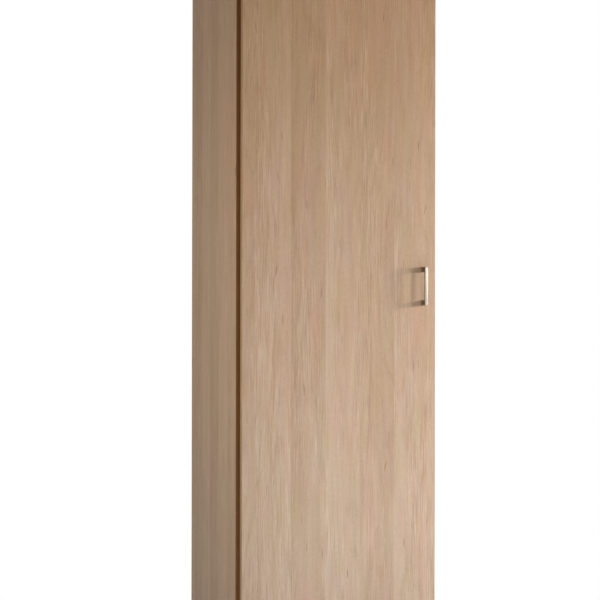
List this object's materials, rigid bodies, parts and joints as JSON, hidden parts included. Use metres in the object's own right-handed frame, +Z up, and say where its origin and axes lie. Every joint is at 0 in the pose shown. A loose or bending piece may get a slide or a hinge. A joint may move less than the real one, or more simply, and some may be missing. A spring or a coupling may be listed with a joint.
{
  "type": "wardrobe",
  "caption": "Tall narrow wardrobe with one hinged full-height door, bow handle, hat shelf and clothes rail, in wood-grain laminated chipboard.",
  "frame": {"origin": "middle of the footprint of the bounding box, on the floor under the glides", "axes": "+Z up, -Y out of the door's front face, +X towards the door's handle edge"},
  "size_m": [0.6, 0.6086, 2.032],
  "materials": {
    "wood_decor": "satin wood-grain laminate",
    "dark_edge": "dark brown ABS edge band",
    "fibreboard": "raw hardboard",
    "raw_wood": "raw fluted beech",
    "white_plastic": "matte extruded",
    "brown_plastic": "matte",
    "black_plastic": "matte",
    "soft_plastic": "translucent soft pad",
    "chrome_tube": "polished",
    "zinc_steel": "zinc plated",
    "nickel_steel": "nickel plated",
    "satin_metal": "satin"
  },
  "bodies": {
    "root": {"left_side_panel": "wood_decor", "right_side_panel": "wood_decor", "left_front_edge": "dark_edge", "right_front_edge": "dark_edge", "top_panel": "wood_decor", "top_front_edge": "dark_edge", "bottom_panel": "wood_decor", "bottom_front_edge": "dark_edge", "hat_shelf": "wood_decor", "hat_shelf_edge": "wood_decor", "plinth_front": "wood_decor", "plinth_rear": "wood_decor", "back_board_upper": "fibreboard", "back_board_lower": "fibreboard", "back_joint_strip": "white_plastic", "back_nails": "zinc_steel", "clothes_rail": "chrome_tube", "rail_sockets": "zinc_steel", "rail_socket_screws": "zinc_steel", "shelf_pins": "zinc_steel", "cam_locks": "zinc_steel", "cam_bolts": "zinc_steel", "cam_caps": "brown_plastic", "wood_dowels": "raw_wood", "glides": "black_plastic", "wall_brackets": "zinc_steel", "wall_bracket_screws": "zinc_steel", "hinge_plates": "nickel_steel", "hinge_plate_screws": "zinc_steel", "hinge_arms": "nickel_steel", "hinge_arm_screws": "zinc_steel", "hinge_side_screws": "zinc_steel"},
    "door": {"door_panel": "wood_decor", "door_edge_left": "wood_decor", "door_edge_right": "wood_decor", "door_edge_top": "wood_decor", "door_edge_bottom": "wood_decor", "hinge_cups": "nickel_steel", "hinge_pins": "nickel_steel", "hinge_cup_screws": "zinc_steel", "handle": "satin_metal", "handle_screws": "zinc_steel", "door_bumpers": "soft_plastic"}
  },
  "joints": [
    {"name": "door_swing", "type": "hinge", "parent": "root", "child": "door", "pos_m": [-0.282, -0.26625, 1.035], "axis": [0, 0, -1], "range_deg": [0, 98]}
  ]
}
